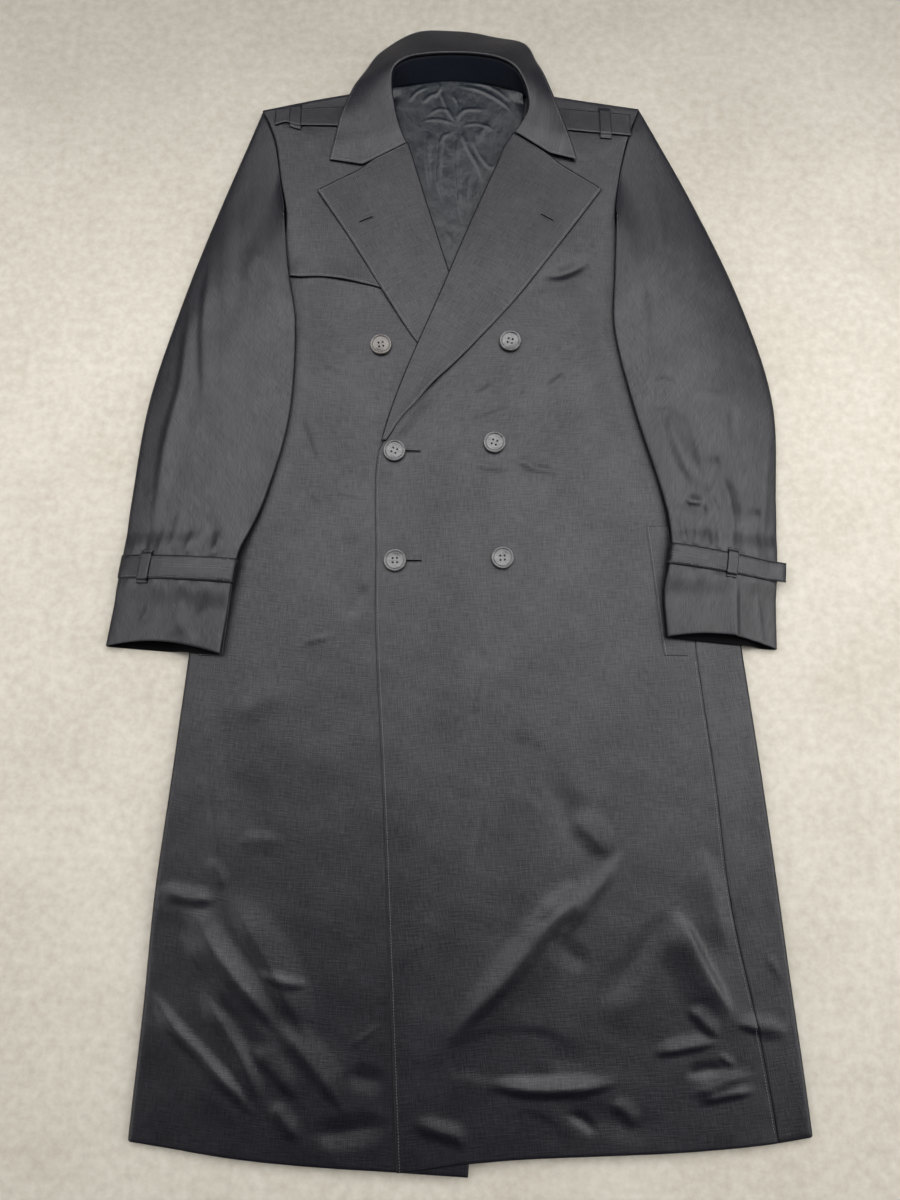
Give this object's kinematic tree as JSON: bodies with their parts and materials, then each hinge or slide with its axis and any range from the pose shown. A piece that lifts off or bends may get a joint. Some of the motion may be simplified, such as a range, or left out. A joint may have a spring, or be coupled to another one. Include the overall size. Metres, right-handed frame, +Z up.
{
  "type": "double-breasted coat",
  "caption": "Long double-breasted coat with notched lapels, storm flap, shoulder straps and strapped cuffs, laid flat on its back with the front up and both sleeves beside it.",
  "frame": {"origin": "on the floor, at the middle of the coat's box", "axes": "+Z up, +Y from the hem towards the collar, +X towards the wearer's left side"},
  "size_m": [0.7798, 1.3584, 0.033],
  "materials": {
    "coat_cloth": "charcoal gabardine, matt with a faint sheen",
    "collar_under": "dark under-collar cloth, matt",
    "lining": "satin lining, dark slate blue",
    "button": "dark imitation horn, polished rim"
  },
  "bodies": {
    "root": {"back": "coat_cloth", "lining_back": "lining", "front_right": "coat_cloth", "storm_flap": "coat_cloth", "lapel_right": "coat_cloth", "front_left": "coat_cloth", "lapel_left": "coat_cloth", "collar_stand": "collar_under", "collar_fall": "coat_cloth", "pocket_welt_right": "coat_cloth", "pocket_welt_left": "coat_cloth", "sleeve_right": "coat_cloth", "cuff_strap_right": "coat_cloth", "cuff_loop_right": "coat_cloth", "sleeve_left": "coat_cloth", "cuff_strap_left": "coat_cloth", "cuff_loop_left": "coat_cloth", "epaulette_right": "coat_cloth", "epaulette_loop_right": "coat_cloth", "epaulette_left": "coat_cloth", "epaulette_loop_left": "coat_cloth", "button_right_1": "button", "button_right_2": "button", "button_right_3": "button", "button_left_1": "button", "button_left_2": "button", "button_left_3": "button"}
  },
  "joints": []
}
